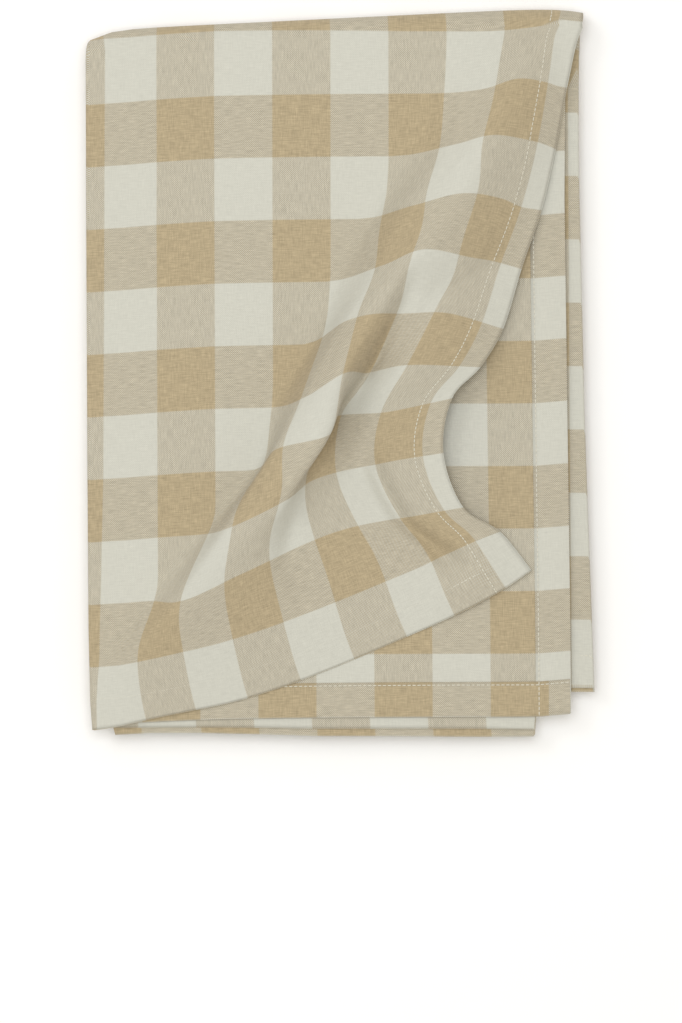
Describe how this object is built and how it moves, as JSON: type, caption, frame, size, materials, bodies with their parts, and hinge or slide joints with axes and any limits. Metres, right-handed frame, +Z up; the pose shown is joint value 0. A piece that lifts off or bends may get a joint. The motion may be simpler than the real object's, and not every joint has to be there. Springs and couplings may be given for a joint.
{
  "type": "folded tablecloth",
  "caption": "Cream and beige gingham cotton tablecloth, folded in quarters both ways, with one loose top corner pulled back.",
  "frame": {"origin": "bottom centre of the bounding box, on the surface that the folded cloth lies on", "axes": "+Z up, +Y towards the top fold, +X towards the loose hems; the pulled-back corner lies at low y and high x"},
  "size_m": [0.3572, 0.5086, 0.0724],
  "materials": {
    "gingham": "matt yarn-dyed cotton gingham"
  },
  "bodies": {
    "root": {"tablecloth": "gingham"}
  },
  "joints": []
}
